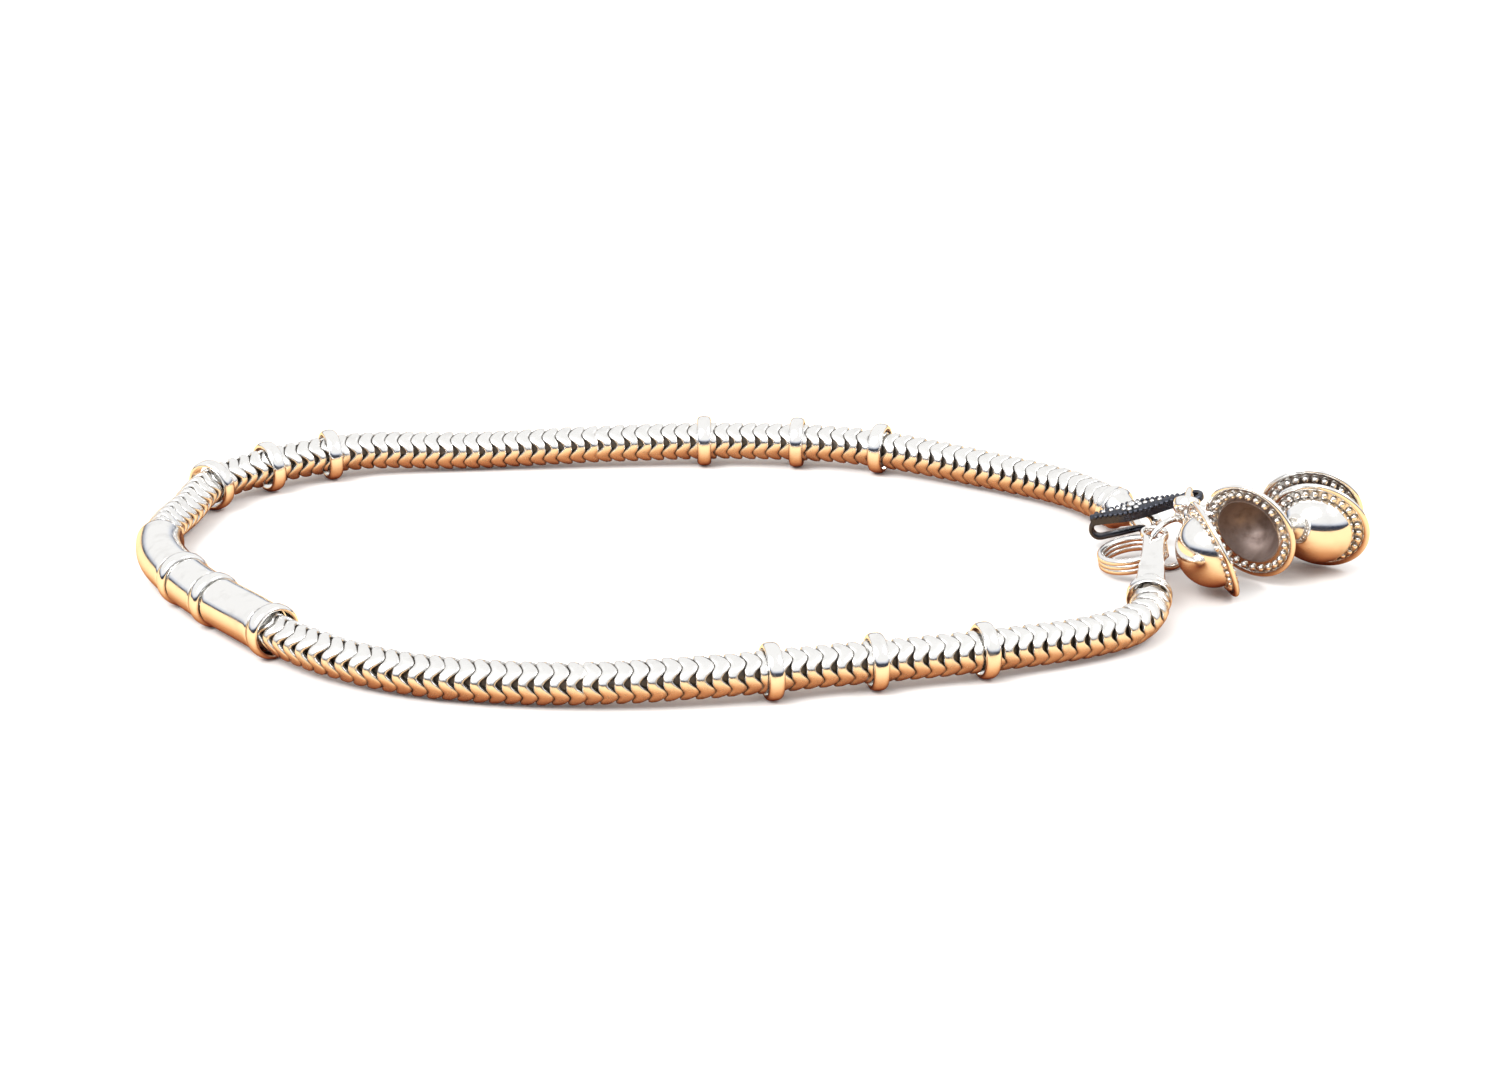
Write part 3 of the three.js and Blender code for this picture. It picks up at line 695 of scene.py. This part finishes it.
def make_coil_ring():
    """Three close turns of wire, one on another, leaning on the joining ring."""
    wire_r, turns = COIL["wire_r"], COIL["turns"]
    middle_r = COIL["outer_r"] - wire_r
    turn = np.linspace(0, 2 * np.pi * turns, 64 * turns)
    lift = wire_r + COIL["rise"] * turn / turn[-1]
    foot = np.stack([middle_r * np.cos(turn) + COIL["outer_r"], middle_r * np.sin(turn), lift], 1)
    c, s = math.cos(COIL["tilt"]), math.sin(COIL["tilt"])
    lean = np.array([(c, 0, -s), (0, 1, 0), (s, 0, c)])
    edge = place(*COIL_AT) - np.array([COIL["outer_r"], 0, 0])
    path = foot @ lean.T + edge
    shape = Shape()
    section = oval(2 * wire_r, 2 * wire_r, WIRE_SIDES)
    shape.grid(sweep(path, lean @ UP, section), wrap_rows=False, caps=True)
    finish_piece(shape.object("coil_ring_finish", SILVER["wire"]), "wire_silver", "coil_ring")


def make_jump_ring(name, seam):
    """A ring of round wire, with the fine seam where its ends meet at an angle in degrees."""
    radius = LINKS[name][3]
    gap = SEAM / radius
    angle = math.radians(seam) + np.linspace(gap, 2 * np.pi - gap, 90)
    matrix = link_frame(name)
    path = moved(np.stack([radius * np.cos(angle), radius * np.sin(angle), 0 * angle], 1), matrix)
    shape = Shape()
    section = oval(2 * WIRE_R, 2 * WIRE_R, WIRE_SIDES)
    shape.grid(sweep(path, matrix[:3, 2], section), wrap_rows=False, caps=True)
    if name == "jump_ring_join":
        drop = link_point(name, JOIN_BALL["angle"])
        shape.ball(drop, JOIN_BALL["r"], subdivisions=3, squash=JOIN_BALL["squash"])
    finish_piece(shape.object(f"{name}_finish", SILVER["wire"]), "wire_silver", name)


def leaf_half_width(x, reach):
    """Half of the hook plate's width at a distance from its tip."""
    rise = smooth_step((x - LEAF["start"]) / LEAF["rise"])
    fall = smooth_step((reach - LEAF["end"] - x) / LEAF["fall"])
    return LEAF["narrow"] + LEAF["swell"] * np.minimum(rise, fall)


def hook_leaf(shape, matrix, reach):
    """The plate: a long leaf, domed on top, with a raised rim."""
    x = np.linspace(LEAF["start"], reach - LEAF["end"], 44)
    x, across = np.meshgrid(x, np.linspace(-1, 1, 15), indexing="ij")
    side = leaf_half_width(x, reach) * across
    rim = smooth_step((np.abs(across) - LEAF["rim_from"]) / (1 - LEAF["rim_from"]))
    top = LEAF["top"] + LEAF["dome"] * (1 - across ** 2) + LEAF["rim"] * rim
    upper = np.stack([x, side, top], -1)
    lower = np.stack([x, side, np.full_like(x, LEAF["bottom"])], -1)[:, ::-1]
    shape.grid(moved(np.concatenate([upper, lower], 1), matrix), wrap_rows=False, caps=True)


def hook_strap(shape, matrix):
    """The strap that curls back under the plate as a lip and goes through the end cap's loop."""
    turn = np.linspace(np.pi / 2, 3 * np.pi / 2, 21)
    across, rise = HOOK_CURL["r"] * np.cos(turn), HOOK_CURL["r"] * np.sin(turn)
    bend = np.stack([HOOK_CURL["x"] + across, 0 * turn, HOOK_CURL["level"] + rise], 1)
    path = moved(np.concatenate([HOOK_STRAP_START, bend, HOOK_LIP]), matrix)
    scale = np.ones((len(path), 2))
    scale[-len(LIP_TAPER):, 0] = LIP_TAPER
    normals = np.cross(np.gradient(path, axis=0), matrix[:3, 1])
    section = oval(HOOK_STRAP["width"], HOOK_STRAP["thickness"], count=16, power=3)
    shape.grid(sweep(path, normals, section, scale), wrap_rows=False, caps=True)


def hook_granules(shape, matrix, reach):
    """Granules along the plate's rim and spine, and a rosette on its middle."""
    middle, ring_r, petals = ROSETTE["middle"], ROSETTE["ring_r"], ROSETTE["petals"]
    spots = [(middle, 0, *MIDDLE_BALL)]
    for i in range(petals):
        angle = 2 * np.pi * i / petals
        spots.append((middle + ring_r * math.cos(angle), ring_r * math.sin(angle), *PETAL_BALL))
    for x in np.arange(EDGE_ROW["start"], reach - EDGE_ROW["end"], EDGE_ROW["pitch"]):
        edge = leaf_half_width(x, reach) - EDGE_ROW["inset"]
        spots += [(x, edge, *EDGE_BALL), (x, -edge, *EDGE_BALL)]
    for x in SPINE_STATIONS:
        spots.append((x * MM, 0, *SPINE_BALL))
    for x, y, z, radius in spots:
        shape.ball(moved([x, y, z], matrix), radius, material=int(radius > BRIGHT_BALL_R))


def make_hook():
    """The S-hook, from its tip in the end cap's loop to its eye on the upright jump ring."""
    tip = place(*HOOK_TIP)
    along = link_point("jump_ring_upright", HOOK_EYE_ANGLE) - tip
    reach = np.linalg.norm(along)
    matrix = frame_at(tip, along, UP)
    shape = Shape()
    hook_leaf(shape, matrix, reach)
    hook_strap(shape, matrix)
    hook_granules(shape, matrix, reach)
    eye = matrix.copy()
    eye[:3, 3] = moved([reach, 0, 0], matrix)
    rim = oval(EYE["rim"], EYE["hook_height"], count=16, power=2.6) + (EYE["middle_r"], 0)
    shape.lathe(rim, eye, segments=48)
    # The plate's near-black colour is a painted dark reflection; the larger granules stay light
    # silver.
    piece = shape.object("s_hook_finish", SILVER["oxidised"], SILVER["granule"])
    finish_piece(piece, "oxidised_silver", "s_hook")


# ---- Bells --------------------------------------------------------------------------------------

def dome_arc(radius, low, high, count):
    """A lathe profile from a dome's rim to its pole, as radius and height."""
    angle = np.linspace(np.pi / 2, 0.01, count)
    return [(radius * math.sin(a), low + (high - low) * math.cos(a)) for a in angle]


def bell_half(shape, at, pole):
    """A pressed dome whose flange has a rolled band and a row of beads on each face."""
    matrix = axis_frame(at, pole)
    wall, flange = BELL["wall"], BELL["flange_r"]
    low, high = wall + BELL["foot"], BELL["dome_height"]
    outside = dome_arc(BELL["dome_r"], low, high, count=30)[::-1]
    channel = BELL["dome_r"] + BELL["channel"]
    groove, half_width, half_height = BELL["groove"], BAND["half_width"], BAND["half_height"]
    band = [(flange - half_width + half_width * math.cos(a), wall / 2 + half_height * math.sin(a))
            for a in np.linspace(BAND["reach"], -BAND["reach"], 25)]
    skin = [*outside, (channel, wall - groove), *band, (channel, groove), (BELL["mouth_r"], 0)]
    shape.lathe(skin, matrix, BELL["segments"], closed=False)
    # The inside takes the dull brown hollow material: painted shade and a painted reflection of a
    # warm floor.
    inside = [(BELL["mouth_r"], 0), *dome_arc(BELL["dome_r"] - wall, 0, high - wall, count=24)]
    shape.lathe(inside, matrix, BELL["segments"], material=1, closed=False)
    ring_r = BELL["bead_ring_r"]
    for height in (wall + BELL["bead_lift"], -BELL["bead_lift"]):
        for angle in np.arange(BELL["beads"]) * 2 * np.pi / BELL["beads"]:
            spot = (ring_r * math.cos(angle), ring_r * math.sin(angle), height)
            shape.ball(moved(spot, matrix), BELL["bead_r"])


def bell_strap(shape, half, eye, eye_axis):
    """A short waisted strap from the rim of a half to the bell's eye."""
    at, pole = half
    pole = unit(pole)
    towards = eye - at
    towards = unit(towards - np.dot(towards, pole) * pole)
    rim = at + towards * (BELL["flange_r"] - BELL_STRAP["inset"]) + pole * BELL_STRAP["lift"]
    reach = unit(eye - rim)
    stop = eye - reach * BELL_STRAP["stop"]
    share = np.linspace(0, 1, BELL_STRAP["steps"])[:, None]
    bow = np.sin(np.pi * share)
    path = rim + (stop - rim) * share + bow * BELL_STRAP["sag"] * pole
    scale = np.column_stack([1.0 - BELL_STRAP["waist"] * bow, np.ones(len(share))])
    normal = np.cross(reach, eye_axis)
    section = oval(BELL_STRAP["width"], BELL_STRAP["thickness"], count=16, power=3)
    shape.grid(sweep(path, normal, section, scale), wrap_rows=False, caps=True)


def bell_eye(shape, eye, axis):
    """The eye that a bell hangs by, round an axis."""
    rim = oval(EYE["rim"], EYE["bell_height"], count=18, power=2.8) + (EYE["middle_r"], 0)
    shape.lathe(rim, axis_frame(eye, axis), segments=44)


def make_bell(name, halves, eye, eye_axis):
    """A bell of two halves, a strap from each, and the eye that both straps run to."""
    shape = Shape()
    for half in halves:
        bell_half(shape, *half)
        bell_strap(shape, half, eye, eye_axis)
    bell_eye(shape, eye, eye_axis)
    piece = shape.object(f"{name}_finish", SILVER["bell"], SILVER["hollow"])
    finish_piece(piece, "bell_silver", name)


def make_bells():
    open_halves = [(place(*at), unit(pole)) for at, pole in OPEN_HALVES]
    shut_halves = [(place(*at), unit(pole)) for at, pole in SHUT_HALVES]
    eye = link_point("jump_ring_upright", OPEN_BELL_ANGLE)
    make_bell("bell_open", open_halves, eye, link_tangent("jump_ring_upright", OPEN_BELL_ANGLE))
    make_bell("bell_shut", shut_halves, place(*SHUT_EYE), UP)


# ---- Stage --------------------------------------------------------------------------------------

FLOOR = {"half": 8.0, "colour": (0.90, 0.89, 0.88), "roughness": 0.85, "specular": 0.15}
# The floor as the metal reflects it: a painted warm reflection, darkened as painted shade by its
# ambient occlusion within a distance of the anklet.
FLOOR_NEAR = {"distance": 9 * MM, "samples": 8}
FLOOR_REFLECTED = [
    (0.25, (0.22, 0.045, 0.015)), (0.65, (0.50, 0.22, 0.085)), (0.95, (0.80, 0.55, 0.29)),
]
# The world as the metal reflects it, by height. The camera sees the backdrop's colour instead.
SKY = [
    (0.0, (0.045, 0.05, 0.07)), (0.05, (0.05, 0.065, 0.11)), (0.13, (0.66, 0.70, 0.80)),
    (0.23, (1.0, 1.0, 1.0)), (1.0, (1.0, 1.0, 1.0)),
]
SKY_TILT = 0.22                           # how far the dark band climbs in front
BACKDROP = (0.95, 0.95, 0.95)
SUN = {"power": 1.1, "angle": math.radians(35), "turn": (math.radians(28), math.radians(-22), 0)}
# Area lights, aimed at the frame's origin: place, size and power.
LIGHTS = {
    "left_box": ((-0.35, -0.25, 0.45), (0.35, 0.3), 2.2),
    "right_box": ((0.4, -0.1, 0.5), (0.3, 0.25), 1.6),
}
CAMERA = {"lens": 74, "sensor_width": 36, "clip_start": 0.005, "clip_end": 50}
CAMERA_AT = (6.5, -280.0, 119.0)          # in the loop's millimetres
CAMERA_AIM = (0, 0, 3.5 * MM)


def fill_ramp(node, stops):
    """Gives a new colour ramp its stops, each a position and a colour, in order."""
    elements = node.color_ramp.elements
    first, *middle, last = stops
    for element, (position, colour) in zip(elements, (first, last)):
        element.position = position
        element.color = (*colour, 1)
    for position, colour in middle:
        elements.new(position).color = (*colour, 1)


def put(name, data, at, target):
    """Adds a light or a camera to the scene, aimed from one point at another."""
    thing = bpy.data.objects.new(name, data)
    thing.location = at
    thing.rotation_euler = (Vector(target) - thing.location).to_track_quat("-Z", "Y").to_euler()
    bpy.context.scene.collection.objects.link(thing)
    return thing


def make_floor():
    """A wide pale floor. What the anklet reflects of it is a painted warm reflection, redder and
    darker close by as painted shade.
    """
    material = bpy.data.materials.new("floor_paper")
    material.use_nodes = True
    nodes, links = material.node_tree.nodes, material.node_tree.links
    shader = nodes["Principled BSDF"]
    shader.inputs["Roughness"].default_value = FLOOR["roughness"]
    shader.inputs["Specular IOR Level"].default_value = FLOOR["specular"]
    # Ambient occlusion darkens the reflected floor near the anklet: painted shade.
    near = nodes.new("ShaderNodeAmbientOcclusion")
    near.inputs["Distance"].default_value = FLOOR_NEAR["distance"]
    near.samples = FLOOR_NEAR["samples"]
    warm = nodes.new("ShaderNodeValToRGB")
    fill_ramp(warm, FLOOR_REFLECTED)
    links.new(near.outputs["AO"], warm.inputs["Fac"])
    path = nodes.new("ShaderNodeLightPath")
    mix = nodes.new("ShaderNodeMix")
    mix.data_type = "RGBA"
    mix.inputs["A"].default_value = (*FLOOR["colour"], 1)
    links.new(warm.outputs["Color"], mix.inputs["B"])
    links.new(path.outputs["Is Glossy Ray"], mix.inputs["Factor"])
    links.new(mix.outputs["Result"], shader.inputs["Base Color"])
    mesh = bpy.data.meshes.new("floor")
    half = FLOOR["half"]
    corners = [(-half, -half, 0), (half, -half, 0), (half, half, 0), (-half, half, 0)]
    mesh.from_pydata(corners, [], [(0, 1, 2, 3)])
    mesh.materials.append(material)
    floor = bpy.data.objects.new("floor", mesh)
    bpy.context.scene.collection.objects.link(floor)


def make_world():
    """A bright sky over a dark band at the horizon, higher in front. The camera sees white."""
    world = bpy.data.worlds.new("studio")
    bpy.context.scene.world = world
    world.use_nodes = True
    nodes, links = world.node_tree.nodes, world.node_tree.links
    back = nodes["Background"]
    place_node = nodes.new("ShaderNodeTexCoord")
    split = nodes.new("ShaderNodeSeparateXYZ")
    links.new(place_node.outputs["Generated"], split.inputs["Vector"])
    ramp = nodes.new("ShaderNodeValToRGB")
    fill_ramp(ramp, SKY)
    front = nodes.new("ShaderNodeMath")
    front.operation = "MINIMUM"
    front.inputs[1].default_value = 0.0
    tilt = nodes.new("ShaderNodeMath")
    tilt.operation = "MULTIPLY_ADD"
    tilt.inputs[1].default_value = SKY_TILT
    links.new(split.outputs["Y"], front.inputs[0])
    links.new(front.outputs["Value"], tilt.inputs[0])
    links.new(split.outputs["Z"], tilt.inputs[2])
    links.new(tilt.outputs["Value"], ramp.inputs["Fac"])
    path = nodes.new("ShaderNodeLightPath")
    mix = nodes.new("ShaderNodeMix")
    mix.data_type = "RGBA"
    mix.inputs["B"].default_value = (*BACKDROP, 1)
    links.new(ramp.outputs["Color"], mix.inputs["A"])
    links.new(path.outputs["Is Camera Ray"], mix.inputs["Factor"])
    links.new(mix.outputs["Result"], back.inputs["Color"])
    back.inputs["Strength"].default_value = 1.0


def make_light(name, at, size, power):
    light = bpy.data.lights.new(name, "AREA")
    light.shape = "RECTANGLE"
    light.size, light.size_y = size
    light.energy = power
    put(name, light, at, (0, 0, 0))


def make_sun():
    """A wide soft sun, which stands for the key light."""
    light = bpy.data.lights.new("sky_key", "SUN")
    light.energy = SUN["power"]
    light.angle = SUN["angle"]
    lamp = bpy.data.objects.new("sky_key", light)
    lamp.rotation_euler = SUN["turn"]
    bpy.context.scene.collection.objects.link(lamp)


def make_camera():
    """A long lens in front of the anklet and above it, aimed at its middle."""
    camera = bpy.data.cameras.new("camera")
    camera.lens = CAMERA["lens"]
    camera.sensor_width = CAMERA["sensor_width"]
    camera.clip_start = CAMERA["clip_start"]
    camera.clip_end = CAMERA["clip_end"]
    bpy.context.scene.camera = put("camera", camera, place(*CAMERA_AT), CAMERA_AIM)


# ---- The whole ----------------------------------------------------------------------------------

bpy.context.scene.view_settings.view_transform = "Standard"
make_camera()
make_floor()
make_world()
make_sun()
for light_name, light_values in LIGHTS.items():
    make_light(light_name, *light_values)

make_chain()
make_painted_shade_core()
make_rings_and_sleeves()
make_loop_cap()
make_tongue_cap()
make_coil_ring()
make_hook()
for link_name, link_seam in zip(LINKS, LINK_SEAMS):
    make_jump_ring(link_name, link_seam)
make_bells()
